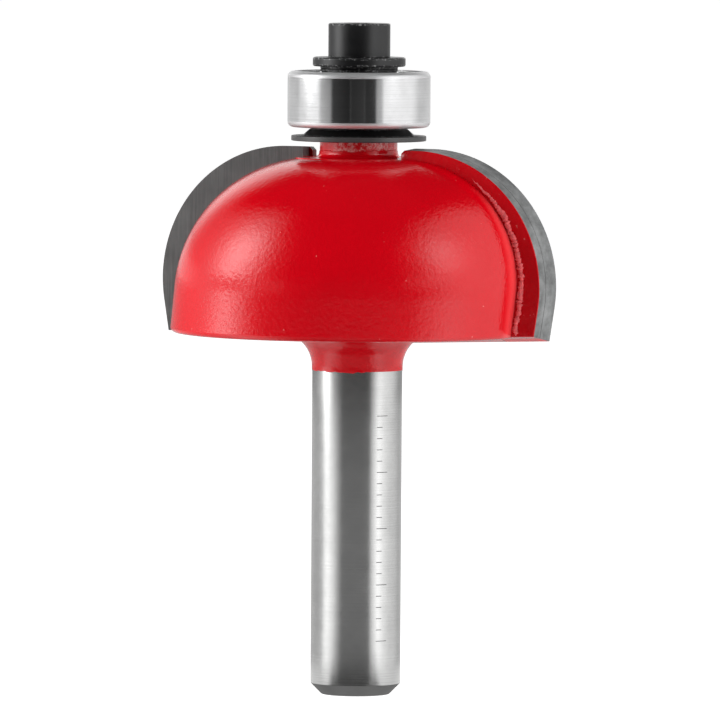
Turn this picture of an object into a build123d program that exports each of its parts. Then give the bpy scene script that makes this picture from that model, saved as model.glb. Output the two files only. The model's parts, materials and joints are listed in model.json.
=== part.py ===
from build123d import *
import math
import os

# Bearing-guided cove router bit, anti-kickback form.
# Frame: origin at the centre of the shank's end face, +Z along the axis to the screw,
# cutting edges in the XZ plane. The bit turns counter-clockwise seen from +Z.
# All lengths are in millimetres and all angles in degrees.

# ---- Shank and flare ----
shank_diameter = 8.0
shank_end_chamfer = 1.0
head_base_z = 32.2
flare_radius = 3.0

# ---- Head: two lobes, each fullest behind its own wing ----
head_height = 15.6
lobe_rim_radius = 16.5
lobe_side_draft = 4.2
lobe_rim_rounding = 0.45
shoulder_share_leading = 0.527
shoulder_share_trailing = 0.758
lobe_start_angle = 4.0
lobe_end_angle = 176.0
lobe_sections = 6
core_radius = 5.6

# ---- Gullets, one in front of each cutting face ----
gullet_angle = 20.5
gullet_root_from_axis = 5.2
gullet_root_rounding = 0.8

# ---- Wings and cutting outline ----
cutting_diameter = 38.1
cutting_length = 16.75
cove_radius = 12.0
wing_top_above_head = 0.88
flank_angle = 9.0
wing_base_dish = 0.5
wing_inner_end_x = 5.15
wing_inner_chamfer = 0.3
wing_thickness = 2.5
radial_relief = 13.5
crown_relief = 2.5
foot_relief = 12.0

# ---- Carbide tips and their seats ----
tip_thickness = 1.5
tip_width = 4.6
tip_crown_height = 4.1
seat_corner_cut = 3.4
braze_film = 0.04

# ---- Neck and spigot ----
neck_diameter = 6.9
neck_height = 1.48
neck_root_fillet = 0.6
neck_edge_chamfer = 0.1
spigot_end_gap = 0.3
spigot_chamfer = 0.25

# ---- Guide bearing ----
bearing_bore = 4.762
bearing_diameter = 12.7
bearing_width = 4.978
bearing_corner_radius = 0.35
ring_edge_chamfer = 0.12
ball_diameter = 2.381
ball_count = 7
ball_play = 0.02
groove_conformity = 0.52
groove_depth = 0.42
inner_land_radius = 3.5
slip_clearance = 0.01
cage_sheet = 0.2
cage_band_width = 1.04
cage_pocket_clearance = 0.04
shield_inset = 0.45
shield_thickness = 0.2
shield_step = 0.08
shield_step_radius = 5.05
shield_step_run = 0.12
shield_seat_radius = 5.62
shield_running_gap = 0.1
snap_wire = 0.22
snap_gap_angle = 28.0
snap_groove_depth = 0.12
seat_clearance = 0.02

# ---- Lower washer ----
lower_disc_diameter = 12.0
lower_disc_thickness = 0.46
lower_boss_foot_radius = 5.0
lower_boss_top_radius = 4.35
lower_boss_height = 0.57
clamp_pad_height = 0.17
clamp_pad_margin = 0.05
washer_bore_clearance = 0.05
washer_edge_break = 0.08

# ---- Upper washer ----
upper_flange_diameter = 8.24
upper_flange_thickness = 0.82
upper_shoulder_height = 0.42
upper_edge_round = 0.15

# ---- Cap screw ----
screw_diameter = 3.0
screw_length = 8.0
screw_head_diameter = 5.5
screw_head_height = 3.0
screw_head_chamfer = 0.15
screw_point_chamfer = 0.35
hex_across_flats = 2.5
hex_depth = 1.5
thread_clearance = 0.03
tapped_hole_spare = 1.6
drill_point_angle = 118.0

# ---- Derived sizes ----
shank_radius = shank_diameter / 2
cutting_radius = cutting_diameter / 2
neck_radius = neck_diameter / 2
cove_centre_x = cutting_radius - cove_radius
head_top_z = head_base_z + head_height
wing_top_z = head_top_z + wing_top_above_head
wing_base_z = wing_top_z - cutting_length
cove_centre_z = wing_top_z - cove_radius
flank_x = cove_centre_x + cove_radius * math.cos(math.radians(flank_angle))
flank_z = cove_centre_z - cove_radius * math.sin(math.radians(flank_angle))
foot_x = flank_x - (flank_z - wing_base_z) * math.tan(math.radians(flank_angle))
neck_top_z = head_top_z + neck_height
bearing_base_z = neck_top_z + lower_disc_thickness + lower_boss_height + clamp_pad_height
bearing_mid_z = bearing_base_z + bearing_width / 2
bearing_top_z = bearing_base_z + bearing_width
washer_top_z = bearing_top_z + upper_shoulder_height + upper_flange_thickness
screw_top_z = washer_top_z + screw_head_height
spigot_top_z = bearing_top_z - spigot_end_gap
ball_radius = ball_diameter / 2
pitch_radius = (bearing_bore + bearing_diameter) / 4
spigot_radius = bearing_bore / 2 - slip_clearance
inner_groove_radius = pitch_radius - ball_radius - ball_play
outer_groove_radius = pitch_radius + ball_radius + ball_play
groove_arc_radius = groove_conformity * ball_diameter
outer_land_radius = outer_groove_radius - groove_depth
clamp_pad_radius = inner_land_radius - clamp_pad_margin
shield_inner_radius = inner_land_radius + shield_running_gap
screw_radius = screw_diameter / 2
tapped_hole_depth = screw_length - (washer_top_z - spigot_top_z) + tapped_hole_spare
rake_plane = Plane.XZ
leading_shoulder = shoulder_share_leading * lobe_rim_radius
trailing_shoulder = shoulder_share_trailing * lobe_rim_radius
seat_side_x = cutting_radius - tip_width
seat_crown_z = wing_top_z - tip_crown_height

os.makedirs("parts", exist_ok=True)


def save(builder, name):
    """Label a finished piece and write it to its own file."""
    builder.part.label = name
    export_step(builder.part, f"parts/{name}.step")


def half_plane(angle):
    """Plane through the axis at an angle about Z, with local X outwards and local Y up."""
    cosine = math.cos(math.radians(angle))
    sine = math.sin(math.radians(angle))
    return Plane(origin=(0, 0, 0), x_dir=(cosine, sine, 0), z_dir=(sine, -cosine, 0))


def cutting_outline():
    """Wing outline in the rake plane: flat crown, cove arc and leaning flank, left long at the foot."""
    low_z = wing_base_z - wing_base_dish
    low_x = flank_x - (flank_z - low_z) * math.tan(math.radians(flank_angle))
    with BuildSketch(rake_plane) as outline:
        with BuildLine():
            Line((0, wing_top_z), (cove_centre_x, wing_top_z))
            CenterArc((cove_centre_x, cove_centre_z), cove_radius, 90, -90 - flank_angle)
            Polyline(
                (flank_x, flank_z),
                (low_x, low_z),
                (0, low_z),
                (0, wing_top_z),
            )
        make_face()
    return outline.sketch


def seat_region(film):
    """Everything outside the three-sided seat edge, moved out by the braze film."""
    side_x = seat_side_x + film
    crown_z = seat_crown_z + film
    inner_x = wing_inner_end_x - braze_film
    reach = cutting_radius + tip_width
    with BuildSketch(rake_plane) as region:
        with BuildLine():
            Polyline(
                (side_x, 0),
                (side_x, crown_z - seat_corner_cut),
                (side_x - seat_corner_cut, crown_z),
                (inner_x, crown_z),
                (inner_x, wing_top_z + tip_width),
                (reach, wing_top_z + tip_width),
                (reach, 0),
                (side_x, 0),
            )
        make_face()
    return region.sketch


def wing_corner():
    """Square that breaks the top inner corner of a wing by the chamfer."""
    side = wing_inner_chamfer * math.sqrt(2)
    with BuildSketch(rake_plane) as corner:
        with Locations((wing_inner_end_x, wing_top_z)):
            Rectangle(side, side, rotation=45)
    return corner.sketch


def foot_plane():
    """Underside of a wing: dished along the edge, and rising behind it by the foot relief."""
    run = foot_x - wing_inner_end_x
    rise = math.tan(math.radians(foot_relief))
    return Plane(origin=(foot_x, 0, wing_base_z), z_dir=(-wing_base_dish, run * rise, run))


def wing_slab(thickness):
    """Cutting outline drawn back, inwards and a little down for clearance, with a square inner end."""
    way_back = Vector(-math.tan(math.radians(radial_relief)), -1, -math.tan(math.radians(crown_relief)))
    with BuildPart() as slab:
        extrude(cutting_outline(), amount=thickness * way_back.length, dir=way_back)
        split(bisect_by=Plane.YZ.offset(wing_inner_end_x), keep=Keep.TOP)
        split(bisect_by=foot_plane(), keep=Keep.TOP)
        extrude(wing_corner(), amount=2 * thickness, both=True, mode=Mode.SUBTRACT)
    return slab.part


# ---- Carbide tips: the front of the wing, outside the seat edge ----
with BuildPart() as carbide_tip:
    add(wing_slab(tip_thickness))
    extrude(seat_region(braze_film), amount=tip_thickness, mode=Mode.INTERSECT)

# ---- Pocket that the tip and its braze film take up in the wing ----
with BuildPart() as seat_pocket:
    extrude(seat_region(0), amount=tip_thickness + braze_film)

# ---- One lobe: a loft through half-plane sections whose shoulder radius grows backwards ----
with BuildPart() as lobe:
    draft_run = head_height * math.tan(math.radians(lobe_side_draft))
    for step in range(lobe_sections):
        share = step / (lobe_sections - 1)
        angle = lobe_start_angle + share * (lobe_end_angle - lobe_start_angle)
        shoulder = leading_shoulder + share * (trailing_shoulder - leading_shoulder)
        with BuildSketch(half_plane(-angle)):
            with BuildLine():
                Polyline(
                    (spigot_radius, head_base_z),
                    (lobe_rim_radius, head_base_z),
                    (lobe_rim_radius - draft_run, head_top_z),
                    (spigot_radius, head_top_z),
                    (spigot_radius, head_base_z),
                )
            section = make_face()
            fillet(section.vertices().sort_by(Axis.X)[-2], shoulder)
            fillet(section.vertices().sort_by(Axis.X)[-1], lobe_rim_rounding)
    loft()

# ---- Gullet: the chip space between a cutting face and the tail of the lobe in front of it ----
with BuildPart() as gullet:
    with BuildSketch(Plane.XY.offset(head_base_z - flare_radius)):
        reach = cutting_diameter
        tail_x = math.cos(math.radians(gullet_angle))
        tail_y = math.sin(math.radians(gullet_angle))
        with BuildLine():
            Polyline(
                (gullet_root_from_axis, 0),
                (reach, 0),
                (reach * tail_x, reach * tail_y),
                (gullet_root_from_axis * tail_x, gullet_root_from_axis * tail_y),
                (gullet_root_from_axis, 0),
            )
        gullet_face = make_face()
        fillet(gullet_face.vertices().sort_by(Axis.X)[0], gullet_root_rounding)
    extrude(amount=flare_radius + head_height + neck_height)

# ---- Body: shank, flare, core, neck and spigot turned in one piece, then lobes and wings ----
with BuildPart() as body:
    flare_start_z = head_base_z - flare_radius
    flare_end_radius = shank_radius + flare_radius
    with BuildSketch(Plane.XZ):
        with BuildLine():
            Polyline(
                (0, 0),
                (shank_radius - shank_end_chamfer, 0),
                (shank_radius, shank_end_chamfer),
                (shank_radius, flare_start_z),
            )
            CenterArc((flare_end_radius, flare_start_z), flare_radius, 180, -90)
            Polyline(
                (flare_end_radius, head_base_z),
                (core_radius, head_top_z),
                (neck_radius + neck_root_fillet, head_top_z),
            )
            CenterArc(
                (neck_radius + neck_root_fillet, head_top_z + neck_root_fillet),
                neck_root_fillet,
                180,
                90,
            )
            Polyline(
                (neck_radius, head_top_z + neck_root_fillet),
                (neck_radius, neck_top_z - neck_edge_chamfer),
                (neck_radius - neck_edge_chamfer, neck_top_z),
                (spigot_radius, neck_top_z),
                (spigot_radius, spigot_top_z - spigot_chamfer),
                (spigot_radius - spigot_chamfer, spigot_top_z),
                (0, spigot_top_z),
                (0, 0),
            )
        make_face()
    revolve(axis=Axis.Z)
    with PolarLocations(0, 2):
        add(lobe.part)
    with PolarLocations(0, 2):
        add(gullet.part, mode=Mode.SUBTRACT)
    with PolarLocations(0, 2):
        add(wing_slab(wing_thickness))
    with PolarLocations(0, 2):
        add(seat_pocket.part, mode=Mode.SUBTRACT)
    with BuildSketch(Plane.XZ):
        hole_radius = screw_radius + thread_clearance
        hole_floor_z = spigot_top_z - tapped_hole_depth
        drill_point = hole_radius / math.tan(math.radians(drill_point_angle / 2))
        with BuildLine():
            Polyline(
                (0, spigot_top_z),
                (hole_radius, spigot_top_z),
                (hole_radius, hole_floor_z),
                (0, hole_floor_z - drill_point),
                (0, spigot_top_z),
            )
        make_face()
    revolve(axis=Axis.Z, mode=Mode.SUBTRACT)
save(body, "body")

for turn in range(2):
    with BuildPart() as turned_tip:
        add(carbide_tip.part, rotation=(0, 0, 180 * turn))
    save(turned_tip, f"carbide_tip_{turn + 1}")

# ---- Lower washer: thin disc, sloping boss, and a pad that meets only the inner ring ----
with BuildPart() as lower_washer:
    disc_radius = lower_disc_diameter / 2
    disc_top_z = neck_top_z + lower_disc_thickness
    boss_top_z = disc_top_z + lower_boss_height
    with BuildSketch(Plane.XZ):
        with BuildLine():
            Polyline(
                (bearing_bore / 2 + washer_bore_clearance, neck_top_z),
                (disc_radius - washer_edge_break, neck_top_z),
                (disc_radius, neck_top_z + washer_edge_break),
                (disc_radius, disc_top_z - washer_edge_break),
                (disc_radius - washer_edge_break, disc_top_z),
                (lower_boss_foot_radius, disc_top_z),
                (lower_boss_top_radius, boss_top_z),
                (clamp_pad_radius, boss_top_z),
                (clamp_pad_radius, bearing_base_z),
                (bearing_bore / 2 + washer_bore_clearance, bearing_base_z),
                close=True,
            )
        make_face()
    revolve(axis=Axis.Z)
save(lower_washer, "lower_washer")

# ---- Inner ring: plain bore, raceway groove in its outer face ----
with BuildPart() as inner_ring:
    with BuildSketch(Plane.XZ):
        with Locations(((bearing_bore / 2 + inner_land_radius) / 2, bearing_mid_z)):
            blank = Rectangle(inner_land_radius - bearing_bore / 2, bearing_width)
        chamfer(blank.vertices(), ring_edge_chamfer)
        with Locations((inner_groove_radius + groove_arc_radius, bearing_mid_z)):
            Circle(groove_arc_radius, mode=Mode.SUBTRACT)
    revolve(axis=Axis.Z)
save(inner_ring, "bearing_inner_ring")

# ---- Outer ring: raceway groove, a stepped seat for each shield and a snap ring groove ----
with BuildPart() as outer_ring:
    outer_radius = bearing_diameter / 2
    shield_seat_depth = shield_inset + shield_thickness
    with BuildSketch(Plane.XZ):
        with Locations(((outer_land_radius + outer_radius) / 2, bearing_mid_z)):
            blank = Rectangle(outer_radius - outer_land_radius, bearing_width)
        fillet(blank.vertices().group_by(Axis.X)[-1], bearing_corner_radius)
        with Locations((outer_groove_radius - groove_arc_radius, bearing_mid_z)):
            Circle(groove_arc_radius, mode=Mode.SUBTRACT)
        for side in (-1, 1):
            seat_mid_z = bearing_mid_z + side * (bearing_width - shield_seat_depth) / 2
            with Locations((shield_seat_radius / 2, seat_mid_z)):
                Rectangle(shield_seat_radius, shield_seat_depth, mode=Mode.SUBTRACT)
            wire_mid_z = bearing_mid_z + side * (bearing_width / 2 - shield_inset + snap_wire / 2)
            with Locations((shield_seat_radius, wire_mid_z)):
                Rectangle(2 * snap_groove_depth, snap_wire + seat_clearance, mode=Mode.SUBTRACT)
    revolve(axis=Axis.Z)
save(outer_ring, "bearing_outer_ring")

# ---- Balls ----
ball_places = PolarLocations(pitch_radius, ball_count).local_locations
for index, place in enumerate(ball_places):
    with BuildPart() as ball:
        with Locations(Location((0, 0, bearing_mid_z)) * place):
            Sphere(ball_radius)
    save(ball, f"ball_{index + 1}")

# ---- Cage: two pressed ribbon halves that meet at mid width and cup the balls ----
with BuildSketch() as cage_band:
    Circle(pitch_radius + cage_band_width / 2)
    Circle(pitch_radius - cage_band_width / 2, mode=Mode.SUBTRACT)
with BuildPart() as cage_half:
    pocket_radius = ball_radius + cage_pocket_clearance
    cup_radius = pocket_radius + cage_sheet
    extrude(cage_band.sketch, amount=cage_sheet)
    with PolarLocations(pitch_radius, ball_count):
        Sphere(cup_radius)
        Sphere(pocket_radius, mode=Mode.SUBTRACT)
    extrude(cage_band.sketch, amount=2 * cup_radius, mode=Mode.INTERSECT)
for flip, end in ((0, "upper"), (180, "lower")):
    with BuildPart() as placed_half:
        with Locations(Location((0, 0, bearing_mid_z), (flip, 0, 0))):
            add(cage_half.part)
    save(placed_half, f"cage_{end}")

# ---- Shields and the snap rings that hold them, drawn above the bearing's mid plane ----
shield_face = bearing_width / 2 - shield_inset
with BuildPart() as shield:
    with BuildSketch(Plane.XZ):
        with BuildLine():
            pressed_face = [
                (shield_inner_radius, shield_face - shield_step),
                (shield_step_radius - shield_step_run, shield_face - shield_step),
                (shield_step_radius, shield_face),
                (shield_seat_radius - seat_clearance, shield_face),
            ]
            hidden_face = [(radius, z - shield_thickness) for radius, z in reversed(pressed_face)]
            Polyline(pressed_face + hidden_face, close=True)
        make_face()
    revolve(axis=Axis.Z)
with BuildPart() as snap_ring:
    wire_path_radius = shield_seat_radius + snap_groove_depth - seat_clearance - snap_wire / 2
    with BuildSketch(Plane.XZ):
        with Locations((wire_path_radius, shield_face + snap_wire / 2)):
            Circle((snap_wire - seat_clearance) / 2)
    revolve(axis=Axis.Z, revolution_arc=360 - snap_gap_angle)
for flip, end in ((0, "upper"), (180, "lower")):
    for piece, kind in ((shield, "shield"), (snap_ring, "snap_ring")):
        with BuildPart() as placed_piece:
            with Locations(Location((0, 0, bearing_mid_z), (flip, 0, 0))):
                add(piece.part)
        save(placed_piece, f"{kind}_{end}")

# ---- Upper washer: shoulder on the inner ring, rounded flange under the screw head ----
with BuildPart() as upper_washer:
    with BuildSketch(Plane.XY.offset(bearing_top_z)):
        Circle(clamp_pad_radius)
    extrude(amount=upper_shoulder_height)
    with BuildSketch(Plane.XY.offset(bearing_top_z + upper_shoulder_height)):
        Circle(upper_flange_diameter / 2)
    extrude(amount=upper_flange_thickness)
    fillet(edges().filter_by(GeomType.CIRCLE).sort_by(SortBy.RADIUS)[-2:], upper_edge_round)
    with BuildSketch(Plane.XY.offset(bearing_top_z)):
        Circle(screw_radius + washer_bore_clearance)
    extrude(amount=upper_shoulder_height + upper_flange_thickness, mode=Mode.SUBTRACT)
save(upper_washer, "upper_washer")

# ---- Cap screw: plain shank at the thread's outer size, cylindrical head, hexagon socket ----
with BuildPart() as cap_screw:
    with BuildSketch(Plane.XY.offset(washer_top_z)):
        Circle(screw_head_diameter / 2)
    extrude(amount=screw_head_height)
    chamfer(edges().group_by(Axis.Z)[-1], screw_head_chamfer)
    with BuildSketch(Plane.XY.offset(screw_top_z)):
        RegularPolygon(hex_across_flats / 2, 6, major_radius=False)
    extrude(amount=-hex_depth, mode=Mode.SUBTRACT)
    with BuildSketch(Plane.XY.offset(washer_top_z)):
        Circle(screw_radius)
    extrude(amount=-screw_length)
    chamfer(edges().group_by(Axis.Z)[0], screw_point_chamfer)
save(cap_screw, "cap_screw")
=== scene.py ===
import json
import math
from functools import partial

import bmesh
import bpy
import numpy as np
from bpy.props import FloatProperty, FloatVectorProperty, PointerProperty
from mathutils import Matrix, Vector


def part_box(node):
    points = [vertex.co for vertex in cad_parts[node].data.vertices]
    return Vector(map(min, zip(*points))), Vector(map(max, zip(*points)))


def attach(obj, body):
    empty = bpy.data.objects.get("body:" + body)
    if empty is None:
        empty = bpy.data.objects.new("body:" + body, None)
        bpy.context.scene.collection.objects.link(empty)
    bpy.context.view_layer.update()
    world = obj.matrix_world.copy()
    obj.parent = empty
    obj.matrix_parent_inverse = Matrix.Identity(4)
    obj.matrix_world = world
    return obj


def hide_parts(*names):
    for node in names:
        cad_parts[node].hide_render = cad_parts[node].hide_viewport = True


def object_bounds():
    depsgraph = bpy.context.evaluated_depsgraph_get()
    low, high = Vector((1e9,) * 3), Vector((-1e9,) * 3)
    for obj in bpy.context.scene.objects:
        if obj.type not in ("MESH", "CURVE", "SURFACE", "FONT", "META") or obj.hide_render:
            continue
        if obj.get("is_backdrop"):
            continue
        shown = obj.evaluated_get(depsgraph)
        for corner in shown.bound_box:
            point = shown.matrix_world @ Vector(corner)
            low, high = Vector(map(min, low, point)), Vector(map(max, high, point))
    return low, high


bl_info = {
    "name": "Cove Router Bit",
    "version": (1, 0, 0),
    "blender": (4, 5, 0),
    "location": "View3D > Sidebar > Router Bit",
    "description": "Turned, ground and painted surfaces for a bearing-guided cove router bit",
    "category": "Add Mesh",
}

MM = 0.001
DEGREE = math.pi / 180
ROUND = 2 * math.pi

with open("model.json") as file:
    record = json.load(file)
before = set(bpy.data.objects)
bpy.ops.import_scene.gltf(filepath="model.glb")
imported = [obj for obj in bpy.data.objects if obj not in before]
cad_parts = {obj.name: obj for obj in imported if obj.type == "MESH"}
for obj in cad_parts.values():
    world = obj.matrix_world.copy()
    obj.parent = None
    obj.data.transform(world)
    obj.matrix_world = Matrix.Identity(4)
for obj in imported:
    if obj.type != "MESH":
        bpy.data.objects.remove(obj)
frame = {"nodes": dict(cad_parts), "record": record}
cad_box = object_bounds()
mounts = {mount["name"]: mount["dims"] for mount in frame["record"]["mounts"]}
tip_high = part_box("carbide_tip_1")[1]
disc_low, disc_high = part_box("lower_washer")
ring_low, ring_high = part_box("bearing_outer_ring")
flange_low, flange_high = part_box("upper_washer")
screw_low, screw_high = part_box("cap_screw")
body_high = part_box("body")[1]


# ---- Sizes and finishes that a user would change ----


def length(name, description, millimetres):
    """Length property, its default given in millimetres."""
    size = millimetres * MM
    return FloatProperty(name=name, description=description, default=size, unit="LENGTH", precision=5)


def angle(name, description, degrees):
    """Angle property, its default given in degrees."""
    return FloatProperty(name=name, description=description, default=degrees * DEGREE, subtype="ANGLE")


def colour(name, description, *rgb):
    """Colour property."""
    return FloatVectorProperty(
        name=name, description=description, default=rgb, subtype="COLOR", min=0, max=1
    )


class HeadSizes(bpy.types.PropertyGroup):
    """Sizes of the shank, the flare, the lobes and the neck."""

    shank_radius: length("Shank radius", "Half the collet size", mounts["shank"]["r_mm"])
    shank_chamfer: length("Shank chamfer", "Chamfer at the end of the shank", 1.0)
    paint_line: length("Paint line", "Height where the enamel starts", 28.9)
    paint_thickness: length("Paint thickness", "How far the enamel stands proud", 0.04)
    base: length("Head base", "Height of the lobes' flat underside", 32.2)
    top: length("Head top", "Height of the flat crown", 47.8)
    flare_radius: length("Flare radius", "Concave radius under the head", 3.0)
    leading_rim: length("Leading rim", "Radius of a lobe's base behind its wing", 15.95)
    trailing_rim: length("Trailing rim", "Radius of a lobe's base at its tail", 16.75)
    leading_lean: angle("Leading lean", "Inward lean of a lobe's side behind its wing", -8.0)
    trailing_lean: angle("Trailing lean", "Inward lean of a lobe's side at its tail", 7.0)
    leading_shoulder: length("Leading shoulder", "Shoulder radius behind the wing", 10.6)
    trailing_shoulder: length("Trailing shoulder", "Shoulder radius at the tail", 12.8)
    rim_rounding: length("Rim rounding", "Rounding of the lower rim", 0.45)
    tail_rounding: length("Tail rounding", "Rounding of a lobe's tail", 0.35)
    gullet_angle: angle("Gullet angle", "Opening of the chip space", 20.5)
    gullet_root: length("Gullet root", "Distance of the root from the axis", 5.2)
    gullet_corner: length("Gullet corner", "Rounding at the back of the chip space", 0.8)
    core_radius: length("Core radius", "Radius of the core at the crown", 5.6)
    neck_radius: length("Neck radius", "Radius of the neck over the crown", 3.45)
    neck_fillet: length("Neck fillet", "Fillet at the foot of the neck", 0.45)
    neck_step: length("Neck step", "Height of the painted step on the neck", 0.62)


class WingSizes(bpy.types.PropertyGroup):
    """Sizes of the wings and their carbide tips."""

    cove_radius: length("Cove radius", "Radius of the cutting arc", 12.0)
    flank_angle: angle("Flank angle", "Lean of the straight flank", 9.0)
    base: length("Wing base", "Height of the outer foot of a wing", 31.93)
    base_dish: length("Base dish", "Fall of the foot towards the axis", 0.5)
    inner_end: length("Inner end", "Distance of the inner end from the axis", 5.15)
    thickness: length("Wing thickness", "Tip and backing together", 2.5)
    radial_relief: angle("Radial relief", "Clearance behind the flank", 13.5)
    crown_relief: angle("Crown relief", "Clearance behind the crown", 2.5)
    foot_relief: angle("Foot relief", "Clearance behind the foot", 12.0)
    tip_thickness: length("Tip thickness", "Thickness of the carbide", 1.5)
    tip_width: length("Tip width", "Width of the carbide at the foot", 4.6)
    crown_height: length("Crown height", "Height of the carbide at the crown", 4.1)
    seat_cut: length("Seat corner", "Corner cut of the seat", 3.4)
    braze: length("Braze film", "Gap that the braze fills", 0.04)
    bead: length("Paint bead", "Half width of the pooled enamel behind the wing", 0.24)


class BearingSizes(bpy.types.PropertyGroup):
    """Sizes of the spigot, the guide bearing, the washers and the cap screw."""

    spigot_radius: length("Spigot radius", "Radius of the spigot in the bearing", 2.371)
    tapped_hole: length("Tapped hole", "Radius of the hole in the spigot", 1.53)
    corner: length("Ring corner", "Corner radius of the outer ring", 0.5)
    shield_seat: length("Shield seat", "Radius of the shield's seat", 5.62)
    shield_inset: length("Shield inset", "Depth of the shields", 0.45)
    shield_sheet: length("Shield sheet", "Thickness of the shields", 0.2)
    shield_step: length("Shield step", "Height of the pressed step", 0.08)
    shield_rim: length("Shield rim", "Outer radius of the shields", 5.6)
    step_start: length("Step start", "Radius where the pressed step starts", 5.17)
    step_end: length("Step end", "Radius where the pressed step ends", 5.05)
    lip_start: length("Lip start", "Width of the inner lip with its slope", 0.32)
    lip_width: length("Lip width", "Width of the inner lip", 0.2)
    shield_bore: length("Shield bore", "Inner radius of the shields", 3.6)
    land: length("Outer land", "Inner radius of the outer ring", 5.156)
    groove: length("Outer groove", "Radius at the bottom of the ball groove", 5.576)
    groove_arc: length("Groove arc", "Radius of the ball groove's section", 1.238)
    disc_thickness: length("Disc thickness", "Thickness of the lower disc", 0.46)
    disc_bore: length("Disc bore", "Bore radius of the lower washer", 2.431)
    boss_foot: length("Boss foot", "Radius of the boss at the disc", 5.0)
    boss_top: length("Boss top", "Radius of the boss at its top", 4.35)
    boss_height: length("Boss height", "Height of the sloping boss", 0.57)
    pad_radius: length("Pad radius", "Pads that meet the inner ring", 3.45)
    flange_thickness: length("Flange thickness", "Thickness of the upper flange", 0.82)
    flange_bore: length("Flange bore", "Bore radius of the upper washer", 1.55)
    thread_radius: length("Thread radius", "Radius of the screw's thread", 1.5)
    hex_flats: length("Hexagon", "Key size of the screw's socket", 2.5)
    hex_depth: length("Socket depth", "Depth of the screw's socket", 1.5)


class BitColours(bpy.types.PropertyGroup):
    """Colours of the finishes."""

    enamel: colour("Enamel", "Red enamel", 0.59, 0.0004, 0.006)
    # Partly real dull enamel, partly painted light: lighter pink than the enamel for beads and carbide feet.
    pooled: colour("Pooled enamel", "Dull enamel of beads and scuffs", 0.85, 0.13, 0.14)
    # Painted highlight: light pink for the inner end of the second wing.
    bare: colour("Bare end", "Highlighted end of a wing", 0.85, 0.62, 0.6)
    carbide: colour("Carbide", "Ground carbide", 0.105, 0.107, 0.106)
    land: colour("Ground land", "Ground clearance behind the edge", 0.21, 0.215, 0.215)
    steel: colour("Steel", "Ground steel", 0.6, 0.6, 0.595)
    polished: colour("Bearing steel", "Polished steel", 0.7, 0.7, 0.705)
    pressed: colour("Pressed steel", "Pressed steel of shields and cages", 0.45, 0.45, 0.44625)
    washer: colour("Washer", "Dark turned washer", 0.06, 0.06, 0.06)
    oxide: colour("Black oxide", "Black oxide", 0.008, 0.008, 0.0085)
    etched: colour("Etched lines", "Etched lines on the shank", 0.1, 0.1, 0.1)
    floor: colour("Floor", "Studio floor", 0.85, 0.85, 0.85)


# ---- Surfaces ----


def unit(vectors):
    """Vectors scaled to length 1."""
    return vectors / np.linalg.norm(vectors, axis=-1, keepdims=True)


def rounded_outline(rows, steps=8, closed=True, margin=0.06 * MM):
    """Straight sides between corners, with each corner swapped for an arc of its own radius.

    A row is a corner's two coordinates and its radius. Where the path turns by an angle a, the arc of
    radius r starts r tan(a / 2) before the corner and ends as far after it, its tangent turning evenly.
    Leading axes are kept, for a stack of outlines. Returns the points and a weight that is 1 on arcs.
    """
    rows = np.asarray(rows, float)
    corners, radii = rows[..., :2], rows[..., 2]
    middle = corners if closed else corners[..., 1:-1, :]
    radii = radii if closed else radii[..., 1:-1]
    before = np.roll(corners, 1, -2) if closed else corners[..., :-2, :]
    after = np.roll(corners, -1, -2) if closed else corners[..., 2:, :]
    way_in, way_out = unit(middle - before), unit(after - middle)
    side = np.sign(way_in[..., 0] * way_out[..., 1] - way_in[..., 1] * way_out[..., 0])
    turn = np.arccos(np.clip((way_in * way_out).sum(-1), -1, 1))
    share = np.linspace(0, 1, steps)[:, None]
    opening = turn[..., None, None]
    weight_in = np.sin((1 - share) * opening) / np.sin(opening)
    weight_out = np.sin(share * opening) / np.sin(opening)
    tangents = weight_in * way_in[..., None, :] + weight_out * way_out[..., None, :]
    inward = np.stack([-tangents[..., 1], tangents[..., 0]], -1) * side[..., None, None]
    centre = middle + unit(way_out - way_in) * (radii / np.cos(turn / 2))[..., None]
    arcs = centre[..., None, :] - inward * radii[..., None, None]
    lead = arcs[..., :1, :] - way_in[..., None, :] * margin
    tail = arcs[..., -1:, :] + way_out[..., None, :] * margin
    points = np.concatenate([lead, arcs, tail], -2)
    edge = np.zeros(points.shape[:-1])
    edge[..., 1:-1] = 1
    points = points.reshape(points.shape[:-3] + (-1, 2))
    edge = edge.reshape(points.shape[:-1])
    if closed:
        return points, edge
    points = np.concatenate([corners[..., :1, :], points, corners[..., -1:, :]], -2)
    none = np.zeros(edge.shape[:-1] + (1,))
    return points, np.concatenate([none, edge, none], -1)


def evenly(path, count, share=1.0):
    """Points at even distances along the first share of a path."""
    run = np.concatenate([[0], np.cumsum(np.linalg.norm(np.diff(path, axis=0), axis=-1))])
    along = np.linspace(0, share * run[-1], count)
    return np.stack([np.interp(along, run, path[:, axis]) for axis in range(2)], -1)


def grid_shell(points, wrap_rows=False, poles=(False, False)):
    """Vertices and faces of a grid whose columns wrap round.

    Each face joins neighbours in two rows and two columns. A pole row is one vertex, met by triangles. Also
    returns which grid points were kept, for values carried with them.
    """
    rows, columns = points.shape[:2]
    index = np.arange(rows * columns).reshape(rows, columns)
    if poles[0]:
        index[0] = index[0, 0]
    if poles[1]:
        index[-1] = index[-1, 0]
    kept, index = np.unique(index, return_inverse=True)
    index = index.reshape(rows, columns)
    low = index if wrap_rows else index[:-1]
    high = np.roll(index, -1, 0) if wrap_rows else index[1:]
    quads = np.stack([low, np.roll(low, -1, 1), np.roll(high, -1, 1), high], -1).reshape(-1, 4)
    at_start = quads[:, 0] == quads[:, 1]
    at_end = quads[:, 2] == quads[:, 3]
    faces = quads[~(at_start | at_end)].tolist()
    faces += quads[at_start][:, 1:].tolist() + quads[at_end][:, :3].tolist()
    return points.reshape(-1, 3)[kept], faces, kept


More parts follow.
